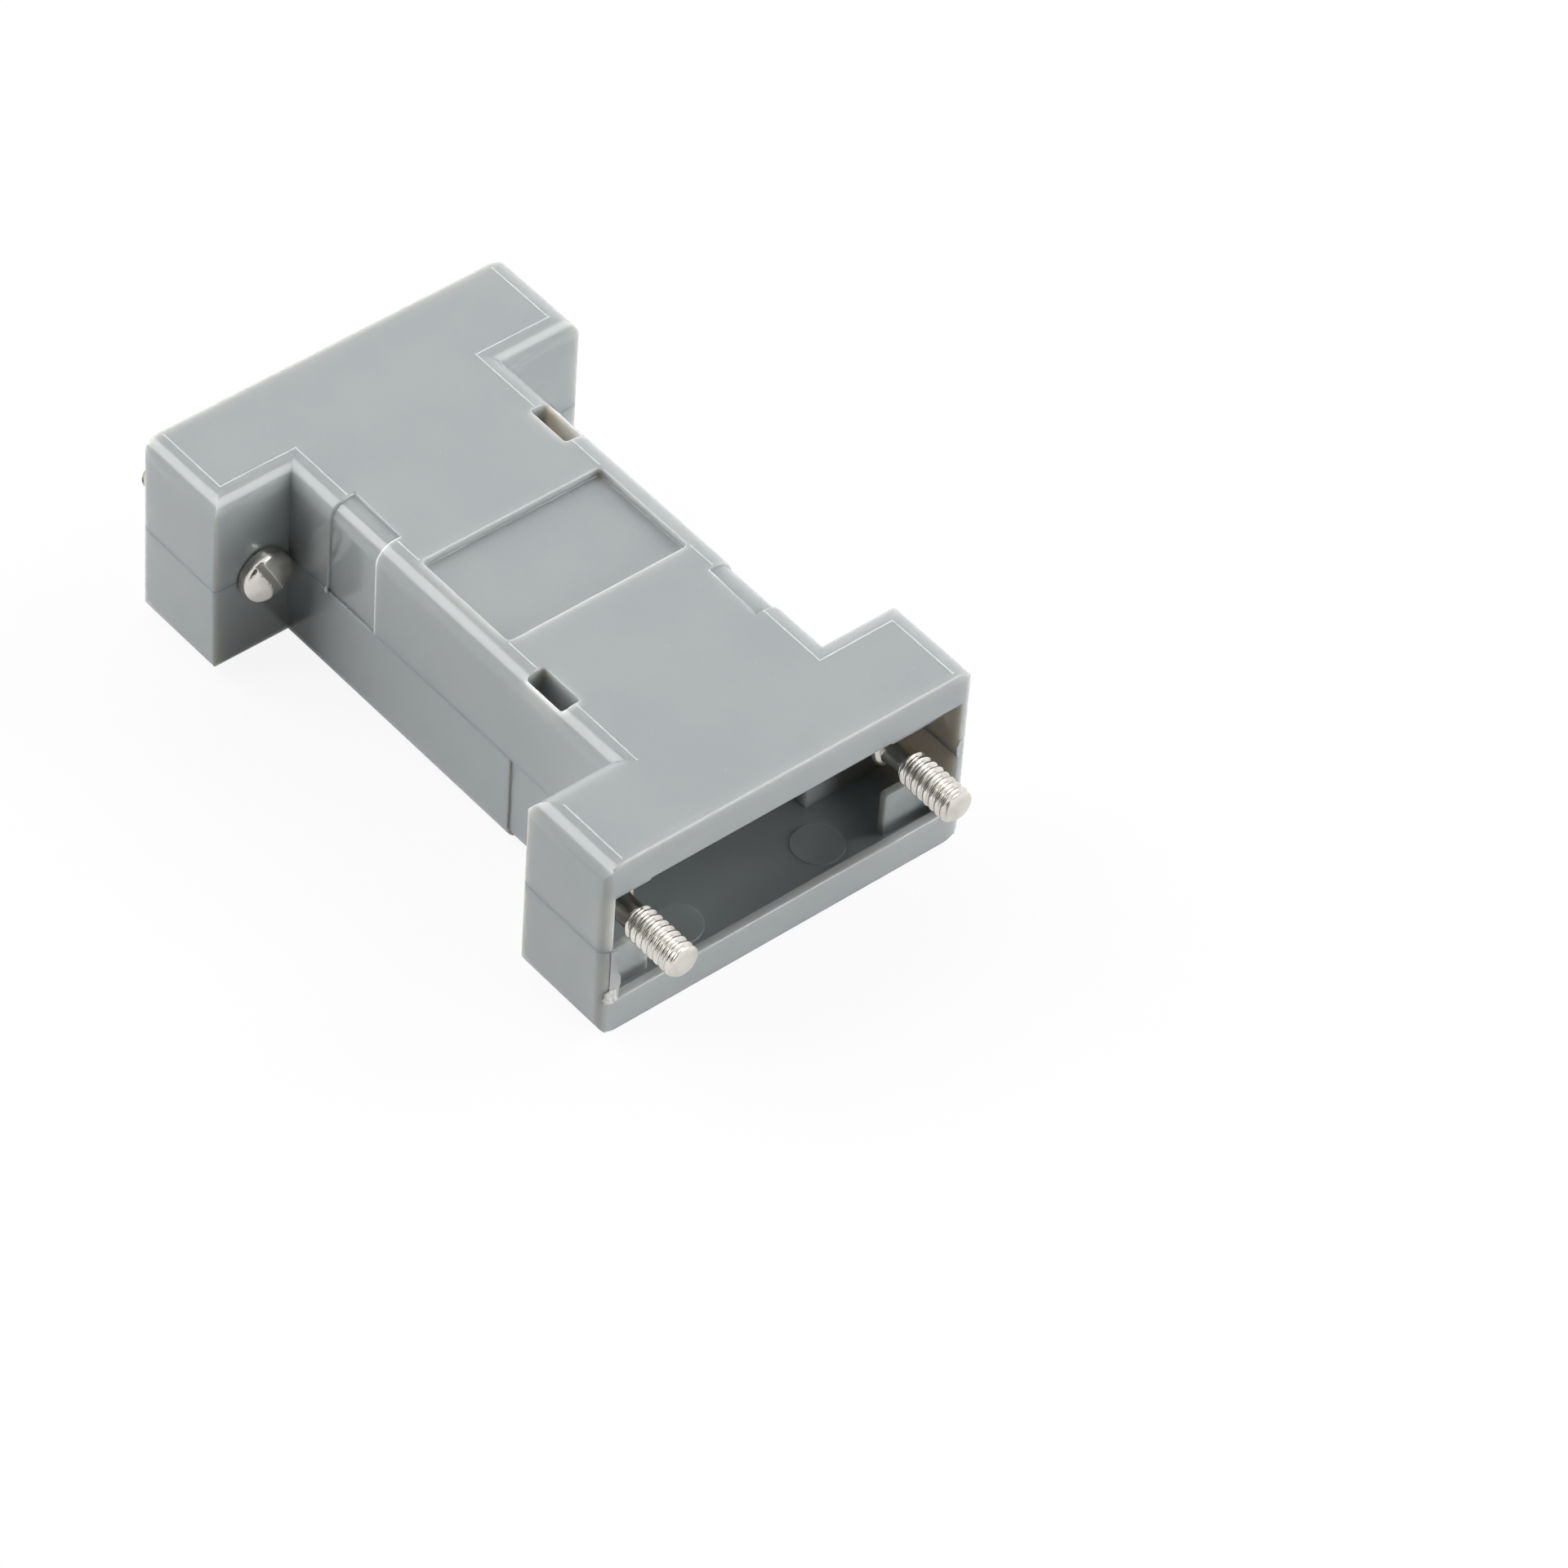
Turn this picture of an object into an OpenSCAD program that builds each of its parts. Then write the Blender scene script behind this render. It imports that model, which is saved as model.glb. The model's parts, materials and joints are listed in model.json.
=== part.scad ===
// In-line D-sub hood for two 9-way connectors back to back: two identical
// snap-together shells and four captive jackscrews. Millimetres.
// X runs across the connector ends, Y along the hood, Z up. The origin is
// the middle of the underside.

/* [Shell outside] */
// Distance from a jackscrew's axis to the side of the hood
screw_edge = 4.205; // [4.1:0.005:6]
// Length from one open end to the other
hood_l = 53.3; // [51:0.1:70]
// Height of the closed hood, both shells together
hood_h = 17; // [16.6:0.1:20]
// Depth of each connector end along the length
end_d = 8.85; // [8.6:0.05:11]
// Width of the waist between the connector ends
waist_w = 20; // [18.5:0.1:20.4]
// Radius along the long edges and the notch edges
edge_r = 1.65; // [0.8:0.05:2]
// Radius of the upright corners at the notches
notch_corner_r = 0.35; // [0.2:0.05:0.8]
// Radius of the upright corners at the open ends
end_corner_r = 0.8; // [0.3:0.05:1]

/* [Shell walls] */
// Thickness of the floor of each shell
floor_t = 2; // [1.6:0.05:2.1]
// Thickness of the waist's side walls
waist_wall = 1.9; // [1.7:0.05:2]
// Thickness of the side walls of the connector ends
end_side_wall = 1; // [0.8:0.05:1.1]
// Thickness of the walls that the jackscrews pass through
ear_wall = 1.65; // [1.2:0.05:2]

/* [Connector seats] */
// Height of the opening between the lips
opening_h = 10.7; // [10.2:0.1:11.2]
// Thickness of the lips along the length
lip_t = 0.8; // [0.5:0.05:1]
// Gap behind the lips for the connector's flange
flange_gap = 1.05; // [0.9:0.05:1.3]
// Thickness of the backing plates along the length
plate_t = 0.7; // [0.5:0.05:0.9]
// Length of each backing plate from the side wall
plate_w = 4.85; // [3.5:0.05:5.5]
// Clear height between facing backing plates
plate_clear_h = 5.2; // [4.6:0.1:6]
// Corner radius of the backing plates
plate_r = 0.3; // [0.1:0.05:0.35]

/* [Latches] */
// Distance of the latches from the middle of the length
latch_y = 10.5; // [9.5:0.1:11.5]
// Length of a latch window
window_l = 4.1; // [3.5:0.1:4.6]
// Width of a latch window
window_w = 1.6; // [1.5:0.05:1.7]
// Wall left between a window and the side of the waist
window_wall = 0.65; // [0.55:0.05:0.8]
// Corner radius of a window
window_r = 0.3; // [0.15:0.05:0.4]
// Thickness of the rib on the inner side of a window
rib_t = 0.8; // [0.5:0.05:1]
// Height of that rib above the floor
rib_h = 0.8; // [0.3:0.05:1]
// Length of the sunk field over a latch root
field_l = 5.4; // [5:0.1:6]
// Depth of the sunk field
field_step = 0.15; // [0.05:0.01:0.2]
// Thickness of a latch arm
arm_t = 1; // [0.9:0.05:1.05]
// Clearance round a latch arm
arm_clear = 0.1; // [0.05:0.01:0.15]
// Height of the catch above the joint of the shells
catch_h = 3.2; // [2.5:0.1:3.6]
// Height of the hook's upright flank
hook_flank = 0.35; // [0.2:0.05:0.5]
// Height of the hook's lead-in slope
hook_slope = 1; // [0.6:0.1:1.2]

/* [Label recess and mould marks] */
// Length of the label recess along the hood
label_l = 9.9; // [8:0.1:12]
// Depth of the label recess
label_depth = 0.7; // [0.3:0.05:0.8]
// Flat strip between the label recess and the edge radius
label_margin = 0.25; // [0.2:0.05:1]
// Corner radius of the label recess
label_r = 0.35; // [0.2:0.05:0.8]
// Diameter of the ejector marks
mark_d = 4; // [3:0.1:4.5]
// Height of the ejector marks
mark_h = 0.1; // [0.05:0.01:0.2]
// Distance of the ejector marks from the middle of the width
mark_x = 6.5; // [4:0.1:7.5]
// Distance of the ejector marks from the open end
mark_in = 3.9; // [3.7:0.1:4.4]

/* [Jackscrews] */
// Distance between the two jackscrews of one end
screw_spacing = 24.99; // [24.7:0.01:47.1]
// Diameter of the holes that the jackscrews run in
screw_hole_d = 3; // [2.8:0.05:3.1]
// Diameter of the head
head_d = 4.4; // [4:0.1:4.8]
// Height of the head
head_h = 1.7; // [1.5:0.1:2]
// Radius of the head's edge
head_edge_r = 1.1; // [0.8:0.05:1.2]
// Radius of the head's crown
head_crown_r = 3.6; // [3.2:0.1:5]
// Width of the driver slot
slot_w = 0.55; // [0.4:0.05:0.7]
// Depth of the driver slot
slot_depth = 0.8; // [0.5:0.05:1]
// Diameter of the shank under the head
shank_d = 2.45; // [2.3:0.05:2.6]
// Diameter of the step between head and shank
step_d = 2.9; // [2.7:0.05:3]
// Height of the step between head and shank
step_h = 0.12; // [0.08:0.01:0.2]
// Diameter of the collar that keeps the jackscrew captive
collar_d = 3.2; // [3.15:0.05:3.5]
// Thickness of the collar
collar_t = 0.7; // [0.5:0.05:0.9]
// Distance from under the head to the middle of the collar
collar_at = 5.2; // [4.8:0.05:5.6]
// Diameter of the neck between collar and thread
neck_d = 2.12; // [2:0.02:2.2]
// Distance from under the head to the start of the thread
thread_at = 7.9; // [7.4:0.1:8.4]
// Length of the thread
thread_l = 4.9; // [4:0.1:7]
// Outer diameter of the thread
thread_d = 2.8; // [2.7:0.02:2.84]
// Diameter of the flat tip
tip_d = 2.2; // [2:0.05:2.4]
// Gap under the head when the jackscrew is pushed home
seat_gap = 0.05; // [0.02:0.01:0.1]
// Angle of the driver slot in each jackscrew
slot_angles = [25, -40, 62, -15];

/* [Hidden] */
$fn = 96;

// A cut runs this far past the face that it opens
over = 1;

// Places along the hood, measured from the middle towards either end
end_y = hood_l / 2;
ear_y = end_y - end_d;
ear_in_y = ear_y + ear_wall;
lip_y = end_y - lip_t;
plate_y = lip_y - flange_gap;

// Places across the hood and up from the underside
end_w = screw_spacing + 2 * screw_edge;
end_in_x = end_w / 2 - end_side_wall;
waist_in_x = waist_w / 2 - waist_wall;
joint_z = hood_h / 2;
lip_h = (hood_h - opening_h) / 2;
plate_top = (hood_h - plate_clear_h) / 2;

// A latch window and the arm that stands in it, from the middle of the width
window_out_x = waist_w / 2 - window_wall;
window_in_x = window_out_x - window_w;
arm_in_x = window_in_x + arm_clear;
arm_out_x = arm_in_x + arm_t;
hook_x = window_out_x - arm_clear;
arm_l = window_l - 4 * arm_clear;
catch_z = joint_z + catch_h;
hook_z = catch_z + arm_clear / 2;

label_w = waist_w - 2 * (edge_r + label_margin);

shell_grey = [0.62, 0.65, 0.66];
nickel = [0.80, 0.79, 0.76];

// Rectangle with four equal round corners, centred
module rounded_rect(w, h, r) {
    square([w - 2 * r, h], center = true);
    square([w, h - 2 * r], center = true);
    for (sx = [-1, 1], sy = [-1, 1])
        translate([sx * (w / 2 - r), sy * (h / 2 - r)]) circle(r);
}

// Plan of a connector end: round corners of one radius at the notches, of another at the open end
module end_plan() {
    n = notch_corner_r;
    e = end_corner_r;
    polygon([for (s = [1, -1]) each (s > 0
        ? [[end_w / 2 - n, ear_y], [end_w / 2, ear_y + n], [end_w / 2, end_y - e], [end_w / 2 - e, end_y]]
        : [[e - end_w / 2, end_y], [-end_w / 2, end_y - e], [-end_w / 2, ear_y + n], [n - end_w / 2, ear_y]])]);
    for (s = [-1, 1]) {
        translate([s * (end_w / 2 - n), ear_y + n]) circle(n);
        translate([s * (end_w / 2 - e), end_y - e]) circle(e);
    }
}

// Cross-section of the closed hood, w wide, shrunk all round by inset, along a length l
module section_prism(w, l, inset = 0) {
    translate([0, 0, joint_z]) rotate([90, 0, 0]) linear_extrude(l, center = true)
        rounded_rect(w - 2 * inset, hood_h - 2 * inset, edge_r - inset);
}

// Solid outside of the connector end on the +Y side, with its radii mitred where they meet
module end_block() {
    reach = end_d + 2 * edge_r;
    intersection() {
        linear_extrude(hood_h) end_plan();
        section_prism(end_w, 2 * end_y + over);
        translate([0, ear_y + reach / 2, joint_z]) rotate([90, 0, 90])
            linear_extrude(end_w + over, center = true) rounded_rect(reach, hood_h, edge_r);
    }
}

// Solid outside of the whole hood
module hood_block() {
    section_prism(waist_w, 2 * (ear_y + edge_r + over / 2));
    for (s = [0, 180]) rotate([0, 0, s]) end_block();
}

// Sunk field over a latch root, on the side and underside of the waist
module latch_field() {
    difference() {
        translate([window_in_x, latch_y - field_l / 2, -over])
            cube([waist_w / 2 - window_in_x + over, field_l, joint_z + 2 * over]);
        section_prism(waist_w, hood_l, field_step);
    }
}

// Latch arm with its hook, standing up from the floor of a shell
module latch_arm() {
    translate([0, latch_y + arm_l / 2, 0]) rotate([90, 0, 0]) linear_extrude(arm_l)
        polygon([[arm_in_x, floor_t - over / 2], [arm_out_x, floor_t - over / 2], [arm_out_x, hook_z],
                 [hook_x, hook_z], [hook_x, hook_z + hook_flank],
                 [arm_out_x, hook_z + hook_flank + hook_slope], [arm_in_x, hook_z + hook_flank + hook_slope]]);
}

// Window and pocket for the other shell's latch arm, with the catch that its hook rests on
module latch_window() {
    catch_depth = hood_h - catch_z;
    translate([(window_in_x + window_out_x) / 2, latch_y, -over])
        linear_extrude(catch_depth + over) rounded_rect(window_w, window_l, window_r);
    translate([window_in_x, latch_y - window_l / 2, catch_depth - over])
        cube([arm_out_x + arm_clear - window_in_x, window_l, catch_h + 2 * over]);
}

// Rib that carries a window's inner wall down past the floor
module window_rib() {
    translate([window_in_x - rib_t, latch_y - window_l / 2 - rib_t, floor_t - over / 2])
        cube([rib_t, window_l + 2 * rib_t, rib_h + over / 2]);
}

// Inside of a shell: waist, connector ends and the openings between the lips
module shell_cavity() {
    depth = joint_z - floor_t + over;
    translate([-waist_in_x, -lip_y, floor_t]) cube([2 * waist_in_x, 2 * lip_y, depth]);
    for (s = [0, 180]) rotate([0, 0, s]) {
        translate([-end_in_x, ear_in_y, floor_t]) cube([2 * end_in_x, lip_y - ear_in_y, depth]);
        translate([-end_in_x, lip_y - over / 2, lip_h]) cube([2 * end_in_x, lip_t + over, depth]);
    }
}

// Half holes in the ear walls, on the joint of the shells
module screw_holes() {
    for (sx = [-1, 1], sy = [-1, 1])
        translate([sx * screw_spacing / 2, sy * (ear_y + ear_wall / 2), joint_z]) rotate([90, 0, 0])
            cylinder(h = ear_wall + over, d = screw_hole_d, center = true);
}

// Backing plates behind the connector flanges, rooted in the floor and the side walls
module backing_plates() {
    w = plate_w + end_side_wall / 2;
    h = plate_top - floor_t + over / 2;
    for (sx = [0, 1], sy = [0, 1]) mirror([sx, 0, 0]) mirror([0, sy, 0])
        translate([end_in_x - plate_w + w / 2, plate_y, plate_top - h / 2]) rotate([90, 0, 0])
            linear_extrude(plate_t) rounded_rect(w, h, plate_r);
}

// Round ejector marks on the floor of the connector ends
module ejector_marks() {
    for (sx = [-1, 1], sy = [-1, 1])
        translate([sx * mark_x, sy * (end_y - mark_in), floor_t - over / 2])
            cylinder(h = mark_h + over / 2, d = mark_d);
}

// One shell, lying with its outside down: both shells come from the same mould
module half_shell() {
    color(shell_grey) {
        difference() {
            intersection() {
                hood_block();
                translate([-end_w, -hood_l, 0]) cube([2 * end_w, 2 * hood_l, joint_z]);
            }
            shell_cavity();
            screw_holes();
            for (s = [0, 180]) rotate([0, 0, s]) {
                latch_field();
                mirror([1, 0, 0]) latch_window();
            }
            translate([0, 0, -over]) linear_extrude(label_depth + over) rounded_rect(label_w, label_l, label_r);
        }
        backing_plates();
        ejector_marks();
        for (s = [0, 180]) rotate([0, 0, s]) {
            latch_arm();
            mirror([1, 0, 0]) window_rib();
        }
    }
}

module lower_shell() {
    half_shell();
}

// The same shell turned over on to the lower one
module upper_shell() {
    translate([0, 0, hood_h]) rotate([180, 0, 0]) half_shell();
}

// Half profile of a jackscrew: radius across, distance from under the head upwards to the tip
module jackscrew_profile() {
    r = head_d / 2;
    intersection() {
        union() {
            translate([0, head_edge_r - head_h]) square([r, head_h - head_edge_r]);
            translate([0, -head_h]) square([r - head_edge_r, head_h]);
            translate([r - head_edge_r, head_edge_r - head_h]) circle(head_edge_r);
        }
        translate([0, head_crown_r - head_h]) circle(head_crown_r);
        translate([0, -head_h]) square([r, head_h]);
    }
    translate([0, -head_h / 2]) square([step_d / 2, step_h + head_h / 2]);
    square([shank_d / 2, collar_at]);
    translate([0, collar_at - collar_t / 2]) square([(collar_d - collar_t) / 2, collar_t]);
    translate([(collar_d - collar_t) / 2, collar_at]) circle(collar_t / 2);
    start = (thread_d - neck_d) / 2;
    point = (thread_d - tip_d) / 2;
    end = thread_at + thread_l;
    polygon([[0, collar_at], [neck_d / 2, collar_at], [neck_d / 2, thread_at - start], [thread_d / 2, thread_at],
             [thread_d / 2, end - point], [tip_d / 2, end], [0, end]]);
}

// One jackscrew, from under its head towards its tip along +Z
module jackscrew(slot_angle) {
    color(nickel) difference() {
        rotate_extrude() jackscrew_profile();
        rotate([0, 0, slot_angle]) translate([-head_d / 2 - over, -slot_w / 2, -head_h - over])
            cube([head_d + 2 * over, slot_w, slot_depth + over]);
    }
}

// A jackscrew pushed home in its ear: side is -1 left or 1 right, end is -1 front or 1 rear
module placed_jackscrew(side, end, slot_angle) {
    translate([side * screw_spacing / 2, end * (ear_y - seat_gap), joint_z]) rotate([-90 * end, 0, 0])
        jackscrew(slot_angle);
}

module jackscrew_front_left() {
    placed_jackscrew(-1, -1, slot_angles[0]);
}

module jackscrew_front_right() {
    placed_jackscrew(1, -1, slot_angles[1]);
}

module jackscrew_rear_left() {
    placed_jackscrew(-1, 1, slot_angles[2]);
}

module jackscrew_rear_right() {
    placed_jackscrew(1, 1, slot_angles[3]);
}

lower_shell();
upper_shell();
jackscrew_front_left();
jackscrew_front_right();
jackscrew_rear_left();
jackscrew_rear_right();
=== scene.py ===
"""Looks of the double-ended D-sub hood: two satin grey mouldings and four nickel-plated jackscrews."""
import json
import math
import random

import bpy
from mathutils import Matrix, Vector, noise

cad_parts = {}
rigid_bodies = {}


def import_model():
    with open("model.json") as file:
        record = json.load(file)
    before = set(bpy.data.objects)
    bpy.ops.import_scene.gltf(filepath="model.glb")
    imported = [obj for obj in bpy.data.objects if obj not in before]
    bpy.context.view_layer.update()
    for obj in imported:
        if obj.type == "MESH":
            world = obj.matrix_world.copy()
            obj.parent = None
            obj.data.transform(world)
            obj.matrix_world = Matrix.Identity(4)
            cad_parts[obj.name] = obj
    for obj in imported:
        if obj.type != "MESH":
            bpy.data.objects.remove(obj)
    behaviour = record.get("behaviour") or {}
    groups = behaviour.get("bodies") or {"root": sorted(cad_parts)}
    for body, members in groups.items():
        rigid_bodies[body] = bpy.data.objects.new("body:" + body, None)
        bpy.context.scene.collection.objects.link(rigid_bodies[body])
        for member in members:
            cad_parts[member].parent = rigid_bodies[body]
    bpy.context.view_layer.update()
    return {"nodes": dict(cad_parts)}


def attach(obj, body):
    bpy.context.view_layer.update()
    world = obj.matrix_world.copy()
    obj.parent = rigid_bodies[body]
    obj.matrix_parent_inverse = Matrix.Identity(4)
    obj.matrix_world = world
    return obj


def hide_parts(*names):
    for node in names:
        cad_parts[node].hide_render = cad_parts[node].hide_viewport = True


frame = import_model()

MM = 0.001

# The hood's own sizes in millimetres: x and y from its middle, heights from a shell's flat side
HOOD_H = 17.0
JOINT_Z = HOOD_H / 2
END_X = 16.7
END_Y = 26.65
EAR_Y = 17.8
WAIST_X = 10.0
FLOOR_T = 2.0
MOUTH_X = 15.7
MOUTH_Z = 3.15
SCREW_X = 12.495
HEAD_SEAT_Y = 17.75
LABEL_X = 8.1
LABEL_Y = 4.95
LABEL_DEPTH = 0.7
WINDOW_IN_X = 7.75
FIELD_Y = (7.8, 13.2)
FIELD_STEP = 0.15
FIELD_SINK = 0.06
FILLET_TOP = 1.4
CORNER_R = 0.73
RIDGE_H = 0.056

# Camera, worked out from the photograph's corners
CAMERA_PLACE = (-0.28922, -0.33771, 0.45153)
CAMERA_TURN = (44.156, -3.0924, -39.6523)
CAMERA_LENS = 200.85


# Selecting and editing

def only(*pieces):
    """Leaves object mode with these pieces selected and the first one active."""
    if bpy.context.mode != "OBJECT":
        bpy.ops.object.mode_set(mode="OBJECT")
    for other in bpy.context.scene.objects:
        other.select_set(False)
    for piece in pieces:
        piece.select_set(True)
    bpy.context.view_layer.objects.active = pieces[0]


def edit(piece, select_mode="FACE", action="DESELECT"):
    """Goes into edit mode on one piece with nothing selected, or with all of it for SELECT."""
    only(piece)
    bpy.ops.object.mode_set(mode="EDIT")
    bpy.ops.mesh.select_mode(type=select_mode)
    bpy.ops.mesh.select_all(action=action)


def done():
    """Goes back to object mode."""
    bpy.ops.object.mode_set(mode="OBJECT")


def pick_faces(piece, wanted):
    """Goes into edit mode with the faces selected for which wanted(centre, normal) is true."""
    edit(piece)
    done()
    for face in piece.data.polygons:
        face.select = wanted(face.center, face.normal)
    bpy.ops.object.mode_set(mode="EDIT")


def pick_edges(piece, wanted):
    """Goes into edit mode with the edges selected for which wanted(middle, along) is true."""
    edit(piece, "EDGE")
    done()
    for edge in piece.data.edges:
        first, second = (piece.data.vertices[i].co for i in edge.vertices)
        edge.select = wanted((first + second) / 2, second - first)
    bpy.ops.object.mode_set(mode="EDIT")


def primitive(name, add, **settings):
    """A new piece from one of the add operators, with its place, turn and size in its mesh."""
    only(bpy.context.scene.camera)
    add(**settings)
    piece = bpy.context.active_object
    piece.name = name
    bpy.ops.object.transform_apply(location=True, rotation=True, scale=True)
    return piece


def start_point(name, x, y, z):
    """A piece that is one point in edit mode, ready to be extruded; places are in millimetres."""
    piece = primitive(name, bpy.ops.mesh.primitive_plane_add, size=MM, location=(x * MM, y * MM, z * MM))
    edit(piece, "VERT", "SELECT")
    bpy.ops.mesh.merge(type="CENTER")
    return piece


def extrude(x, y, z):
    """Extrudes what is selected and moves it by this step in millimetres."""
    bpy.ops.mesh.extrude_region_move(TRANSFORM_OT_translate={"value": (x * MM, y * MM, z * MM)})


def apply_modifier(piece, kind, **settings):
    """Adds a modifier with these settings and applies it."""
    only(piece)
    modifier = piece.modifiers.new(kind.lower(), kind)
    for name, value in settings.items():
        setattr(modifier, name, value)
    bpy.ops.object.modifier_apply(modifier=modifier.name)


def cut(piece, tool, operation="DIFFERENCE"):
    """Cuts or unites a piece with another solid, which is used up."""
    apply_modifier(piece, "BOOLEAN", object=tool, operation=operation, solver="EXACT")
    bpy.data.objects.remove(tool)


def join(piece, *others):
    """Joins other pieces into this one's object."""
    only(piece, *others)
    bpy.ops.object.join()


def outwards(piece):
    """Merges doubles and points every face outwards."""
    edit(piece, "FACE", "SELECT")
    bpy.ops.mesh.remove_doubles(threshold=1e-6)
    bpy.ops.mesh.normals_make_consistent(inside=False)
    done()


def smooth(piece, angle, crisp=None):
    """Smooth shading with crisp flats; crisp(middle, along) is true for more edges that stay sharp."""
    only(piece)
    bpy.ops.object.shade_smooth_by_angle(angle=math.radians(angle))
    if crisp:
        pick_edges(piece, crisp)
        bpy.ops.mesh.mark_sharp()
        done()
    apply_modifier(piece, "WEIGHTED_NORMAL", weight=50, keep_sharp=True)


# Shader maths

class Value:
    """A shader socket that adds Math nodes when it is used in an expression."""

    def __init__(self, shader, socket):
        self.shader = shader
        self.socket = socket

    def _math(self, operation, first, second):
        return self.shader.node("ShaderNodeMath", {"operation": operation}, {0: first, 1: second})

    def __add__(self, other):
        return self._math("ADD", self, other)

    __radd__ = __add__

    def __sub__(self, other):
        return self._math("SUBTRACT", self, other)

    def __rsub__(self, other):
        return self._math("SUBTRACT", other, self)

    def __mul__(self, other):
        return self._math("MULTIPLY", self, other)

    __rmul__ = __mul__

    def __or__(self, other):
        return self._math("MAXIMUM", self, other)

    __ror__ = __or__

    def ramp(self, low, high):
        """0 below low, 1 above high, and smooth between them."""
        return self.shader.node(
            "ShaderNodeMapRange",
            {"interpolation_type": "SMOOTHSTEP"},
            {"Value": self, "From Min": low, "From Max": high},
            output="Result",
        )


class Shader:
    """The nodes of a material or of the world, around one surface node."""

    def __init__(self, owner, surface="ShaderNodeBsdfPrincipled", output="ShaderNodeOutputMaterial"):
        owner.use_nodes = True
        self.owner = owner
        self.tree = owner.node_tree
        self.tree.nodes.clear()
        self.surface = self.node(surface)
        self.output = self.tree.nodes.new(output)
        self.show(self.surface)

    def feed(self, socket, value):
        """Links a value into a socket, or sets it there."""
        if isinstance(value, Value):
            self.tree.links.new(value.socket, socket)
        else:
            socket.default_value = value

    def node(self, kind, settings=None, values=None, output=0):
        """Adds a node: its settings first, then the values or links of its sockets."""
        made = self.tree.nodes.new(kind)
        for name, value in (settings or {}).items():
            setattr(made, name, value)
        for name, value in (values or {}).items():
            self.feed(made.inputs[name], value)
        return Value(self, made.outputs[output])

    def set(self, **values):
        """Sets sockets of the surface node: words joined by _ name a socket."""
        for name, value in values.items():
            self.feed(self.surface.socket.node.inputs[name.replace("_", " ")], value)

    def show(self, look):
        """Makes a shader value the one that is seen."""
        self.feed(self.output.inputs["Surface"], look)

    def ray(self, kind):
        """1 for rays of this kind, such as Camera or Glossy, and 0 for the others."""
        return self.node("ShaderNodeLightPath", output="Is " + kind + " Ray")

    def noise(self, size_mm, detail):
        """Noise from 0 to 1 over the object, with features of about this many millimetres."""
        place = self.node("ShaderNodeTexCoord", output="Object")
        return self.node(
            "ShaderNodeTexNoise", None, {"Vector": place, "Scale": 1000.0 / size_mm, "Detail": detail},
        )

    def blend(self, share, first, second):
        """Mixes two colours."""
        return self.node("ShaderNodeMix", {"data_type": "RGBA"}, {0: share, 6: first, 7: second}, output=2)

    def bump(self, height, depth_mm):
        """Bump of a height from 0 to 1 that stands for this many millimetres."""
        return self.node("ShaderNodeBump", None, {"Height": height, "Distance": depth_mm * MM})


# Camera, light and floor

def make_camera():
    """The camera at the photograph's viewing angle."""
    camera_data = bpy.data.cameras.new("camera")
    camera_data.lens = CAMERA_LENS
    camera = bpy.data.objects.new("camera", camera_data)
    camera.location = CAMERA_PLACE
    camera.rotation_euler = [math.radians(angle) for angle in CAMERA_TURN]
    bpy.context.scene.collection.objects.link(camera)
    bpy.context.scene.camera = camera


def toward(azimuth, elevation):
    """The unit vector at these degrees round from +X and up from the floor."""
    turn, rise = math.radians(azimuth), math.radians(elevation)
    return Vector((math.cos(rise) * math.cos(turn), math.cos(rise) * math.sin(turn), math.sin(rise)))


# Distance of the light panels from the hood, in metres
PANEL_AWAY = 1.2
# Soft panels round the hood: azimuth, elevation, half width and half height in degrees, brightness
PANELS = {
    "left_box": (134, 44, 18, 18, 2.8),
    "left_low": (126, 11, 34, 11, 5.6),
    "left_back": (98, 36, 16, 14, 2.2),
    "right_box": (314, 47, 16, 16, 0.7),
    "right_low": (291, 12, 24, 12, 5.4),
    "right_back_low": (345, 12, 14, 12, 5.3),
    "right_back": (345, 37, 16, 13, 4.2),
    "back_low": (35, 14, 32, 14, 0.85),
    "back_high": (40, 45, 26, 16, 1.8),
}
# The two that show as gleams along the rounded edges
GLEAMS = {
    "left_gleam": (134.3, 44.4, 18, 18, 4.4),
    "right_gleam": (314.2, 47.1, 16, 16, 4.4),
}
# The dark card: azimuth and elevation in degrees, distance and width in metres
CARD_WAY = (228, 22)
CARD_AWAY = 0.85
CARD_W = 0.9
FLOOR_W = 6


def soft_panel(name, azimuth, elevation, half_width, half_height, brightness, gleam):
    """A flat panel of light that faces the hood, either as a plain light or only as a gleam."""
    width = 2 * PANEL_AWAY * math.tan(math.radians(half_width))
    height = 2 * PANEL_AWAY * math.tan(math.radians(half_height))
    data = bpy.data.lights.new(name, "AREA")
    data.shape = "RECTANGLE"
    data.size = width
    data.size_y = height
    data.energy = brightness * math.pi * width * height
    lamp = bpy.data.objects.new(name, data)
    way = toward(azimuth, elevation)
    lamp.location = way * PANEL_AWAY
    lamp.rotation_euler = (-way).to_track_quat("-Z", "Y").to_euler()
    lamp.visible_diffuse = not gleam
    lamp.visible_glossy = gleam
    bpy.context.scene.collection.objects.link(lamp)


def make_dark_card():
    """A dark card behind the camera, which gives the bright metal its dark sides."""
    way = toward(*CARD_WAY)
    facing = (-way).to_track_quat("Z", "Y").to_euler()
    card = primitive(
        "dark_card", bpy.ops.mesh.primitive_plane_add, size=CARD_W,
        location=way * CARD_AWAY, rotation=facing,
    )
    card.visible_camera = False
    card.visible_diffuse = False
    shader = Shader(bpy.data.materials.new("dark_card_cloth"))
    shader.set(Base_Color=(0.02, 0.02, 0.02, 1), Roughness=0.9)
    card.data.materials.append(shader.owner)


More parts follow.
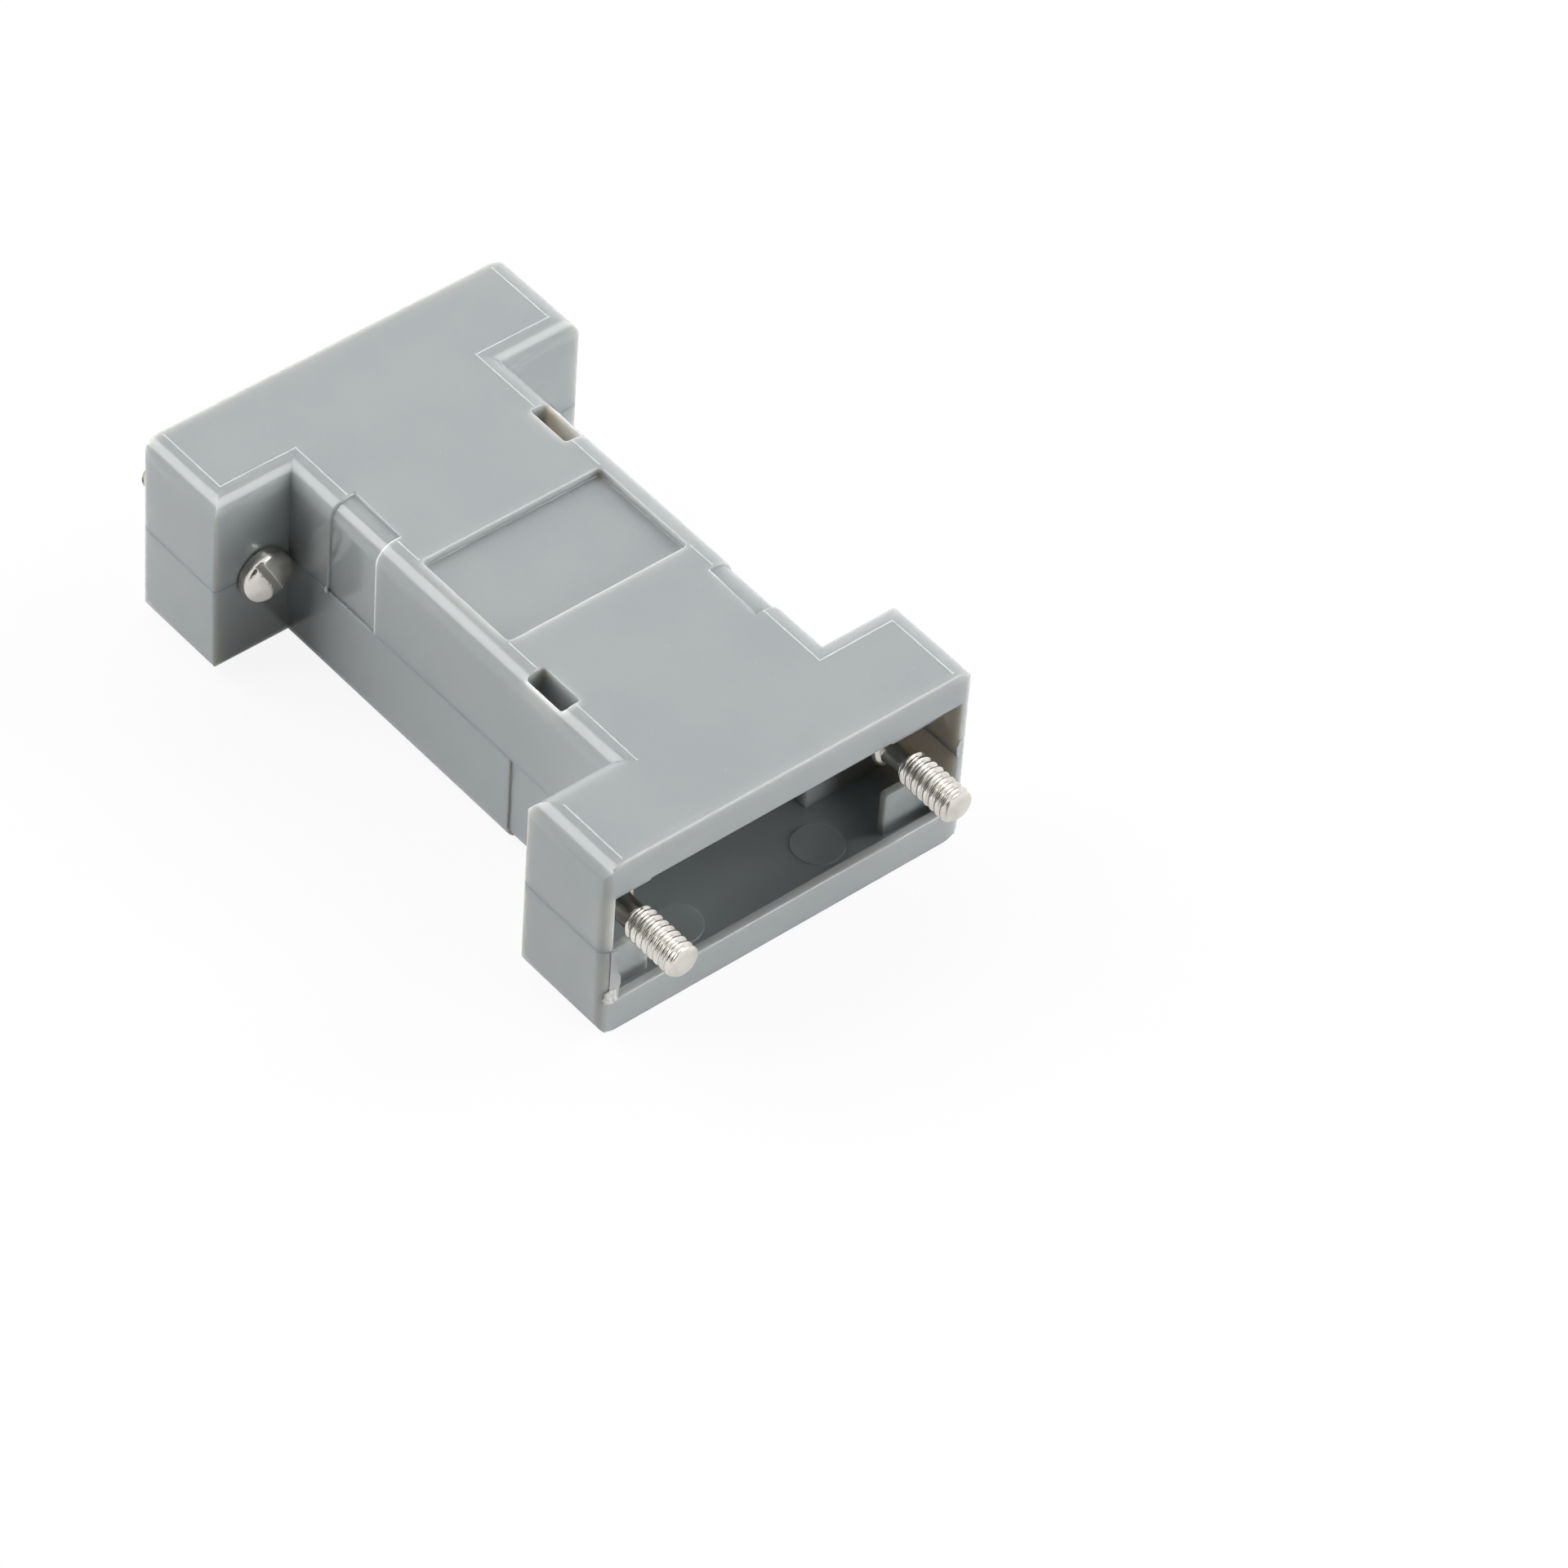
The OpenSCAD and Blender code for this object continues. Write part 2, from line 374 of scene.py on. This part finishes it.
def make_sky():
    """A plain sky: white to the camera and in reflections, and no light of its own."""
    world = bpy.data.worlds.new("sky")
    bpy.context.scene.world = world
    sky = Shader(world, "ShaderNodeBackground", "ShaderNodeOutputWorld")
    seen = sky.ray("Camera") | sky.ray("Transmission") | sky.ray("Glossy")
    sky.set(Color=(1, 1, 1, 1), Strength=seen)


def make_floor():
    """A pale floor under the mould's lines that shows white, with the hood's soft shadow."""
    floor = primitive(
        "floor", bpy.ops.mesh.primitive_plane_add, size=FLOOR_W, location=(0, 0, -RIDGE_H * MM),
    )
    shader = Shader(bpy.data.materials.new("pale_floor"))
    tone = shader.blend(shader.ray("Diffuse"), (0.98, 0.98, 0.98, 1), (0.3, 0.3, 0.3, 1))
    shader.set(Base_Color=tone, Roughness=0.9, Specular_IOR_Level=0.1)
    glow = shader.ray("Camera") * 0.9 + shader.ray("Glossy") * 0.4
    white = shader.node("ShaderNodeEmission")
    shader.show(shader.node("ShaderNodeMixShader", None, {0: glow, 1: shader.surface, 2: white}))
    floor.data.materials.append(shader.owner)


# Materials

# Each plastic lies between two tints; flecks are in all of them
SKIN_TINTS = ((0.392, 0.425, 0.431, 1), (0.412, 0.437, 0.442, 1))
FLASH_TINTS = ((0.47, 0.48, 0.48, 1), (0.54, 0.55, 0.54, 1))
# Torn plastic whitens, and these tints are paler still: painted light that lifts the jackscrew's shade off
# the torn gate
TORN_AND_PAINTED_LIGHT_TINTS = ((0.68, 0.68, 0.66, 1), (0.78, 0.77, 0.75, 1))
FLECK = (0.62, 0.64, 0.64, 1)
NICKEL = (0.78, 0.75, 0.70, 1)
STAINED_NICKEL = (0.66, 0.63, 0.58, 1)


def satin_plastic(name, roughness, grain, tints, thick):
    """Moulded grey plastic with a grain of this depth in millimetres; a thick wall lets light in."""
    shader = Shader(bpy.data.materials.new(name))
    base = shader.blend(shader.noise(9.0, detail=2.0).ramp(0.35, 0.65), *tints)
    flecks = shader.noise(0.22, detail=1.0).ramp(0.80, 0.83)
    sheen = shader.noise(3.0, detail=3.0)
    shader.set(Base_Color=shader.blend(flecks, base, FLECK))
    shader.set(Roughness=roughness + (sheen - 0.5) * 0.3 * roughness)
    shader.set(Normal=shader.bump(shader.noise(0.16, detail=2.0), grain))
    shader.set(IOR=1.6, Subsurface_Weight=1.0 if thick else 0.0)
    shader.set(Subsurface_Radius=(1.0, 0.85, 0.72), Subsurface_Scale=0.0026)
    return shader.owner


def nickel_plate():
    """Bright nickel with small pits and rub marks."""
    shader = Shader(bpy.data.materials.new("nickel_plate"))
    stain = shader.noise(1.6, detail=4.0)
    shader.set(Base_Color=shader.blend(stain.ramp(0.35, 0.75), NICKEL, STAINED_NICKEL), Metallic=1.0)
    shader.set(Roughness=0.17 + stain.ramp(0.4, 0.8) * 0.12)
    shader.set(Normal=shader.bump(shader.noise(0.18, detail=3.0), 0.012))
    return shader.owner


# The two mouldings: both come from one mould, so one is modelled and its copy is turned over

# Cuts across a moulding, because a whole face can't go round a hole
SEAMS_X = (-6.5, 0, 6.5)
# Angles in degrees between two faces: below the first they are one flat, from the second on a sharp edge
FLAT_ANGLE = 0.3
SHARP_ANGLE = 29


def welded_copy(node, name):
    """A copy of a CAD node's mesh with its loose triangles merged into whole faces."""
    source = frame["nodes"][node]
    piece = source.copy()
    piece.data = source.data.copy()
    piece.name = name
    piece.data.name = name
    piece.parent = None
    for key in list(piece.keys()):
        del piece[key]
    bpy.context.scene.collection.objects.link(piece)
    piece.data.materials.clear()
    edit(piece, "EDGE", "SELECT")
    bpy.ops.mesh.remove_doubles(threshold=1e-6)
    bpy.ops.mesh.customdata_custom_splitnormals_clear()
    for x in SEAMS_X:
        bpy.ops.mesh.select_all(action="SELECT")
        bpy.ops.mesh.bisect(plane_co=(x * MM, 0, 0), plane_no=(1, 0, 0), threshold=1e-7)
        bpy.ops.mesh.mark_seam(clear=False)
    bpy.ops.mesh.select_all(action="SELECT")
    bpy.ops.mesh.dissolve_limited(angle_limit=math.radians(FLAT_ANGLE), delimit={"SEAM"})
    done()
    return piece


# A witness line's width, the slope on each side of it, and its root inside the wall
RIDGE_W = 0.2
RIDGE_SLOPE = 0.078
RIDGE_ROOT = (0.002, 0.102)
# Lines that the mould's parting left near the edge of the flat side, as paths of x and y
WITNESS_LINES = [
    [(14.98, 26.2), (14.98, 19.52), (8.27, 19.52), (8.27, 13.3)],
    [(8.27, 7.62), (8.27, 5.12)],
    [(8.27, -5.12), (8.27, -8.3)],
    [(8.27, -12.7), (8.27, -19.52), (14.98, -19.52), (14.98, -26.2)],
    [(-14.98, -26.2), (-14.98, -19.52), (-8.2, -19.52), (-8.2, -13.4)],
    [(-8.2, -7.62), (-8.2, -5.12)],
    [(-8.2, 5.12), (-8.2, 8.3)],
    [(-8.2, 12.7), (-8.2, 19.5)],
    [(-14.98, 19.7), (-14.98, 26.2)],
]


def ridge(path):
    """A thin raised line with sloped sides that follows a path on the flat underside."""
    low, high = RIDGE_ROOT
    line = start_point("ridge", *path[0], low)
    for (x0, y0), (x1, y1) in zip(path, path[1:]):
        extrude(x1 - x0, y1 - y0, 0)
    edit(line, "EDGE", "SELECT")
    extrude(0, 0, high - low)
    done()
    apply_modifier(line, "SOLIDIFY", thickness=RIDGE_W * MM, offset=0, use_even_offset=True)
    outwards(line)
    pick_faces(line, lambda centre, normal: normal.z < -0.9)
    bpy.ops.mesh.inset(thickness=RIDGE_SLOPE * MM, depth=(RIDGE_H + low) * MM, use_even_offset=True)
    done()
    return line


# Radii of the softened edges in millimetres, and the widest that a bevel weight of 1 stands for
PLAIN_R = 0.08
LABEL_RIM_R = 0.16
LABEL_ROOT_R = 0.1
END_RIM_R = 0.2
MOUTH_RIM_R = 0.12
FIELD_RIM_R = 0.19
FIELD_ROOT_R = 0.012
WINDOW_RIM_R = 0.09
INNER_RIM_R = 0.02
WIDEST_R = 0.3
# Windows keep a sharp edge from this x on, where they run up into the waist's rounded edge
WINDOW_SHARP_X = 9.0
# Edges inside a shell that lie lower than this and nearer the middle than this count as inner rims
INNER_TOP = 2.4
INNER_X = 15
# Corners where rounded bottom edges meet, which have no room for more: their ranges of x and of y
MEETING_CORNERS = [
    ((15, 17), (16, 19.6)),
    ((15.99, 17), (26, 27)),
    ((8.4, 10.2), (16.4, 27)),
]
# How far past a place in millimetres an edge's middle still counts as there
NEAR = 0.05


def edge_radius(x, y, z, convex, joint_radius):
    """How round an edge of a shell is, in millimetres, from the place of its middle."""
    ax, ay = abs(x), abs(y)
    on_outside = z < FLOOR_T - NEAR or ax > WAIST_X - FIELD_STEP - NEAR
    by_latch = ax > WINDOW_IN_X - NEAR and FIELD_Y[0] - NEAR < ay < FIELD_Y[1] + NEAR
    on_field = by_latch and on_outside and x * y > 0
    if ax < LABEL_X + NEAR and ay < LABEL_Y + NEAR and z < LABEL_DEPTH + NEAR:
        return LABEL_RIM_R if convex else LABEL_ROOT_R
    if abs(z - JOINT_Z) < NEAR:
        return 0 if on_field else joint_radius
    for (x_low, x_high), (y_low, y_high) in MEETING_CORNERS:
        if z < FILLET_TOP and x_low < ax < x_high and y_low < ay < y_high:
            return 0
    if ay > END_Y - NEAR:
        in_mouth = ax < MOUTH_X + NEAR and z > MOUTH_Z - NEAR
        return MOUTH_RIM_R if in_mouth else END_RIM_R
    if on_field and not convex:
        return FIELD_ROOT_R
    if on_field:
        return 0 if ay < FIELD_Y[0] + NEAR else FIELD_RIM_R
    if by_latch and z < FILLET_TOP:
        return 0 if ax > WINDOW_SHARP_X else WINDOW_RIM_R
    if FILLET_TOP < z < INNER_TOP and ax < INNER_X:
        return INNER_RIM_R
    return PLAIN_R


def weigh_edges(piece, joint_radius):
    """Gives every edge that a mould would round its bevel weight."""
    mesh = piece.data
    weight = mesh.attributes.new("bevel_weight_edge", "FLOAT", "EDGE")
    sides = {}
    for face in mesh.polygons:
        corners = list(face.vertices)
        for first, second in zip(corners, corners[1:] + corners[:1]):
            along = mesh.vertices[second].co - mesh.vertices[first].co
            inward = face.normal.cross(along).normalized()
            sides.setdefault(tuple(sorted((first, second))), []).append((face.normal.copy(), inward))
    for edge in mesh.edges:
        pair = sides.get(tuple(sorted(edge.vertices)), [])
        if len(pair) != 2:
            continue
        (first_normal, _), (second_normal, second_inward) = pair
        if math.degrees(first_normal.angle(second_normal, 0)) < SHARP_ANGLE:
            continue
        convex = second_inward.dot(first_normal) < 0
        first, second = (mesh.vertices[i].co for i in edge.vertices)
        x, y, z = (first + second) / 2 / MM
        weight.data[edge.index].value = edge_radius(x, y, z, convex, joint_radius) / WIDEST_R


def on_mitre(middle, along):
    """Whether an edge lies in a slanting seam where two rounded bottom edges meet."""
    at_corner = 0.005 < middle.z / MM < FILLET_TOP and abs(middle.y) / MM > EAR_Y - NEAR
    slanting = abs(abs(along.x) - abs(along.y)) < 0.2 * along.length < 0.8 * abs(along.x)
    return at_corner and slanting


def on_latch_field(centre, normal):
    """Whether a face is the bottom of one of the two sunk latch fields."""
    x, y, z = centre / MM
    outer = normal.z < -0.1 or normal.x * x > 0.1 * abs(x)
    beside = WINDOW_IN_X + 0.02 < abs(x) and FIELD_Y[0] < abs(y) < FIELD_Y[1] and x * y > 0
    return outer and beside and (abs(x) > WAIST_X - 0.6 or z < 0.4)


# The torn gate's middle, half sizes, lean and height over the end face, in millimetres
GATE_X = -15.86
GATE_Z = 4.0
GATE_HALF_W = 0.66
GATE_HALF_H = 0.9
GATE_LEAN = 0.1
GATE_RIM_H = 0.1
GATE_H = 0.11
# Shares of the way out where the gate's rim begins and where it ends
GATE_RIM = 0.8
GATE_BORDER = 0.86


def corner_depth(x):
    """How far the rounded upright corner lies behind the end face at this x."""
    past = min(max(abs(x) - END_X + CORNER_R, 0), CORNER_R)
    return CORNER_R - math.sqrt(CORNER_R ** 2 - past ** 2)


def gate_noise(across, along, fineness):
    """Noise at a place on the torn gate, from about -1 to 1."""
    return noise.noise(Vector((across * 1.9, along * 2.6, 5.0)) * fineness)


def gate_edge(across, along):
    """How far out a place on the torn gate is: about 1 at its border, and ragged."""
    return math.hypot(across, along) + 0.35 * gate_noise(across, along, 1.3)


def torn_gate(torn):
    """The patch on an end face where the moulding was broken off its sprue."""
    patch = primitive(
        "torn_gate", bpy.ops.mesh.primitive_grid_add, size=2 * MM,
        x_subdivisions=18, y_subdivisions=34,
    )
    pick_faces(patch, lambda centre, normal: gate_edge(centre.x / MM, centre.y / MM) > GATE_BORDER)
    bpy.ops.mesh.delete(type="FACE")
    done()
    for point in patch.data.vertices:
        across, along = point.co.x / MM, point.co.y / MM
        height = GATE_RIM_H
        if gate_edge(across, along) < GATE_RIM:
            coarse, fine = gate_noise(across, along, 1.1), gate_noise(across, along, 3.1)
            height = GATE_H + 0.09 * abs(coarse) + 0.04 * fine
        x = GATE_X + across * GATE_HALF_W - along * GATE_LEAN
        z = GATE_Z + along * GATE_HALF_H
        point.co = Vector((x, -END_Y - height + corner_depth(x), z)) * MM
    apply_modifier(patch, "SOLIDIFY", thickness=0.04 * MM, offset=0)
    outwards(patch)
    smooth(patch, angle=50)
    patch.data.materials.append(torn)
    return patch


# Flash: its distance in front of the end face, thickness, wave and raggedness, and its rows going up
FLASH_AWAY = 0.045
FLASH_T = 0.06
FLASH_WAVE = 0.01
FLASH_RAGS = 0.05
FLASH_ROWS = 30
# The x of each fin's inner edge at each share of the way up
LOWER_FLASH = [
    (0, -15.06), (0.12, -15.12), (0.3, -14.95), (0.42, -14.95), (0.52, -15.15), (0.85, -15.3), (1, -15.35),
]
UPPER_FLASH = [(0, 15.7), (0.4, 15.5), (1, 15.58)]


def value_at(path, share):
    """The value at this share of a path of (share, value)."""
    for (low, first), (high, second) in zip(path, path[1:]):
        if share <= high:
            return first + (second - first) * (share - low) / (high - low)
    return path[-1][1]


def ragged_flash(flash, root_x, outline, end, low, high, seed):
    """A thin ragged fin along the inner edge of an end wall; end is -1 front or 1 rear."""
    dice = random.Random(seed)
    fin = primitive(
        "ragged_flash", bpy.ops.mesh.primitive_grid_add, size=MM,
        x_subdivisions=2, y_subdivisions=FLASH_ROWS,
    )
    tips = {}
    for point in fin.data.vertices:
        across = point.co.x / MM + 0.5
        share = point.co.y / MM + 0.5
        row = round(share * FLASH_ROWS)
        if row not in tips:
            tips[row] = value_at(outline, share) + dice.uniform(-FLASH_RAGS, FLASH_RAGS)
        x = root_x + (tips[row] - root_x) * across
        y = end * (END_Y + FLASH_AWAY) + dice.uniform(-FLASH_WAVE, FLASH_WAVE)
        point.co = Vector((x, y, low + (high - low) * share)) * MM
    apply_modifier(fin, "SOLIDIFY", thickness=FLASH_T * MM, offset=0)
    outwards(fin)
    fin.data.materials.append(flash)
    return fin


def nub(torn, place, size, seed):
    """A small lump of flash."""
    middle = [value * MM for value in place]
    lump = primitive(
        "nub", bpy.ops.mesh.primitive_ico_sphere_add, subdivisions=3, radius=size * MM, location=middle,
    )
    edit(lump, "VERT", "SELECT")
    bpy.ops.transform.vertex_random(offset=0.12 * size * MM, uniform=0.0, normal=0.0, seed=seed)
    bpy.ops.transform.resize(value=(0.7, 0.8, 1.5), center_override=middle)
    done()
    lump.data.materials.append(torn)
    return lump


def moulding(name, joint_radius, plastic, polished):
    """One shell, lying with its outside down: softened edges, witness lines and polished inserts."""
    piece = welded_copy("lower_shell", name)
    weigh_edges(piece, joint_radius)
    pick_faces(piece, on_latch_field)
    bpy.ops.transform.shrink_fatten(value=-FIELD_SINK * MM, use_even_offset=True)
    done()
    apply_modifier(
        piece, "BEVEL", limit_method="WEIGHT", width=WIDEST_R * MM, segments=3, use_clamp_overlap=False,
    )
    lines = [ridge(path) for path in WITNESS_LINES]
    join(*lines)
    cut(piece, lines[0], "UNION")
    piece.data.materials.append(plastic)
    piece.data.materials.append(polished)
    for face in piece.data.polygons:
        x, y, z = face.center / MM
        on_field = on_latch_field(face.center, face.normal)
        on_label = abs(x) < LABEL_X and abs(y) < LABEL_Y and LABEL_DEPTH - NEAR < z < LABEL_DEPTH + NEAR
        face.material_index = 1 if on_field or on_label else 0
    smooth(piece, angle=33, crisp=on_mitre)
    return piece


def seat_moulding(piece, node):
    """Puts a finished moulding in the place of its CAD node."""
    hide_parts(node)
    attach(piece, "shell")


def make_shells():
    """Both shells with what the mould left on them; the upper one is turned over at the end."""
    plastic = satin_plastic("shell_satin", 0.18, 0.003, SKIN_TINTS, thick=True)
    polished = satin_plastic("shell_polished", 0.09, 0.0004, SKIN_TINTS, thick=True)
    flash = satin_plastic("shell_flash", 0.4, 0.01, FLASH_TINTS, thick=False)
    # The torn material is whitened torn plastic with painted light on top, paler than the real tear to
    # offset the jackscrew's shade on the gate
    torn = satin_plastic("shell_torn_painted_light", 0.55, 0.02, TORN_AND_PAINTED_LIGHT_TINTS, thick=False)
    lower = moulding("lower_shell_moulding", 0.02, plastic, polished)
    upper = moulding("upper_shell_moulding", 0.08, plastic, polished)
    lower_fin = ragged_flash(flash, -15.93, LOWER_FLASH, end=-1, low=3.2, high=8.46, seed=3)
    # The upper shell is turned over end for end, so what shows at its front is made at the rear
    upper_fin = ragged_flash(flash, 15.93, UPPER_FLASH, end=1, low=6.8, high=8.4, seed=5)
    join(lower, torn_gate(torn), lower_fin)
    join(upper, upper_fin, nub(torn, (-10.03, -13.3, 8.36), size=0.2, seed=4))
    upper.data.transform(Matrix.Translation((0, 0, HOOD_H * MM)) @ Matrix.Rotation(math.pi, 4, "X"))
    seat_moulding(lower, "lower_shell")
    seat_moulding(upper, "upper_shell")


# The jackscrews: modelled once along +Z, from under the head towards the tip

# Steps round a turned form
ROUND_STEPS = 64
THREAD_STEPS = 48
# The head's crown is part of a ball of this radius, with its centre at this height
CROWN_R = 3.6
CROWN_CENTRE = 1.9
# The cutter for the driver's slot: its size, and the height of its middle
SLOT_CUTTER = (5.5, 0.55, 1.3)
SLOT_MIDDLE = -1.55
PITCH = 0.635
THREAD_R = 1.4
ROOT_R = 1.07
SCREW_END = 12.8
# The thread is drawn longer than needed: where it starts, its turns, and where it is cut off
THREAD_START = 5.3
THREAD_TURNS = 14
THREAD_CUT = 7.3
# Height of the thread's flank over its root at each share of a turn: round at crest and root
FLANK = [
    (0, 0), (0.08, 0.03), (0.18, 0.22), (0.32, 0.78), (0.42, 0.97), (0.5, 1),
    (0.58, 0.97), (0.68, 0.78), (0.82, 0.22), (0.92, 0.03), (1, 0),
]
# Each jackscrew's side, -1 left or 1 right, its end, -1 front or 1 rear, and the angle of its slot
JACKSCREWS = {
    "front_left": (-1, -1, 25),
    "front_right": (1, -1, -40),
    "rear_left": (-1, 1, 62),
    "rear_right": (1, 1, -15),
}


def lathe(name, profile):
    """A turned solid: a disc is extruded and scaled from ring to ring up a profile of (radius, height)."""
    radius, height = profile[0]
    piece = primitive(
        name, bpy.ops.mesh.primitive_circle_add, vertices=ROUND_STEPS, radius=radius * MM, fill_type="NGON",
        location=(0, 0, height * MM),
    )
    edit(piece, "FACE", "SELECT")
    for next_radius, next_height in profile[1:]:
        extrude(0, 0, next_height - height)
        scale = next_radius / radius
        bpy.ops.transform.resize(value=(scale, scale, 1), center_override=(0, 0, next_height * MM))
        radius, height = next_radius, next_height
    done()
    outwards(piece)
    return piece


def arc(centre, radius, start, end, steps):
    """Points on an arc in the (radius, height) plane, angles in degrees."""
    made = []
    for i in range(steps + 1):
        angle = math.radians(start + (end - start) * i / steps)
        made.append((centre[0] + radius * math.cos(angle), centre[1] + radius * math.sin(angle)))
    return made


def thread_rod():
    """The thread: one ridge drawn up a right-handed helix, cut square at both ends."""
    rod = start_point("thread", ROOT_R, 0, THREAD_START)
    for (share, rise), (next_share, next_rise) in zip(FLANK, FLANK[1:]):
        extrude((next_rise - rise) * (THREAD_R - ROOT_R), 0, (next_share - share) * PITCH)
    done()
    apply_modifier(
        rod, "SCREW", angle=math.tau, screw_offset=PITCH * MM, iterations=THREAD_TURNS, steps=THREAD_STEPS,
        render_steps=THREAD_STEPS, axis="Z",
    )
    outwards(rod)
    for height, below in ((THREAD_CUT, True), (SCREW_END + 0.2, False)):
        edit(rod, "EDGE", "SELECT")
        bpy.ops.mesh.bisect(
            plane_co=(0, 0, height * MM), plane_no=(0, 0, 1), use_fill=True,
            clear_inner=below, clear_outer=not below, threshold=1e-8,
        )
        done()
    outwards(rod)
    return rod


def jackscrew_master():
    """One jackscrew along +Z: a crowned slotted head, shank, collar, neck and thread."""
    head = [(0.03, -1.7)]
    for radius in (0.4, 0.8, 1.2, 1.6, 1.9, 2.03):
        head.append((radius, CROWN_CENTRE - math.sqrt(CROWN_R ** 2 - radius ** 2)))
    head += [(2.1, -1.0), (2.15, -0.9), (2.185, -0.76), (2.2, -0.6), (2.2, -0.12), (2.17, -0.04), (2.09, 0)]
    shank = [(1.5, 0), (1.45, 0.02), (1.42, 0.09), (1.36, 0.12), (1.24, 0.14), (1.225, 0.2), (1.225, 4.8)]
    collar = arc((1.25, 5.2), 0.35, -86, 86, 10)
    neck = [(1.12, 5.57), (1.06, 5.66), (1.06, 7.5), (0.9, 7.6), (0.9, 12.0), (0.03, 12.0)]
    screw = lathe("jackscrew_master", head + shank + collar + neck)
    cutter = primitive(
        "slot", bpy.ops.mesh.primitive_cube_add, size=1, location=(0, 0, SLOT_MIDDLE * MM),
        scale=[length * MM for length in SLOT_CUTTER],
    )
    cut(screw, cutter)
    apply_modifier(
        screw, "BEVEL", limit_method="ANGLE", angle_limit=math.radians(55), width=0.04 * MM, segments=2,
    )
    limit = [(0.03, 7.35), (1.03, 7.35), (1.05, 7.42), (1.1, 7.5), (1.43, 7.85), (1.43, 12.3)]
    limit += arc((0.98, 12.36), 0.44, 8, 78, 6) + [(1.0, SCREW_END), (0.03, SCREW_END)]
    thread = thread_rod()
    cut(thread, lathe("thread_limit", limit), "INTERSECT")
    cut(screw, thread, "UNION")
    return screw


def fitted_jackscrew(master, node, body, metal, side, end, slot_angle):
    """A copy of the jackscrew in its ear."""
    piece = master.copy()
    piece.data = master.data.copy()
    piece.name = node + "_turned"
    piece.data.name = piece.name
    bpy.context.scene.collection.objects.link(piece)
    lie = Matrix.Rotation(math.radians(-90 * end), 4, "X")
    spin = Matrix.Rotation(math.radians(slot_angle), 4, "Z")
    place = Matrix.Translation((side * SCREW_X * MM, end * HEAD_SEAT_Y * MM, JOINT_Z * MM))
    piece.data.transform(place @ lie @ spin)
    piece.data.materials.append(metal)
    smooth(piece, angle=45)
    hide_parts(node)
    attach(piece, body)


def make_jackscrews():
    """The four jackscrews, each a copy of one master."""
    nickel = nickel_plate()
    master = jackscrew_master()
    for place, (side, end, slot_angle) in JACKSCREWS.items():
        fitted_jackscrew(master, "jackscrew_" + place, place + "_jackscrew", nickel, side, end, slot_angle)
    bpy.data.objects.remove(master)


# Building

bpy.context.scene.view_settings.view_transform = "Standard"
make_camera()
make_sky()
make_floor()
make_dark_card()
for name, panel in PANELS.items():
    soft_panel(name, *panel, gleam=False)
for name, panel in GLEAMS.items():
    soft_panel(name, *panel, gleam=True)
make_shells()
make_jackscrews()
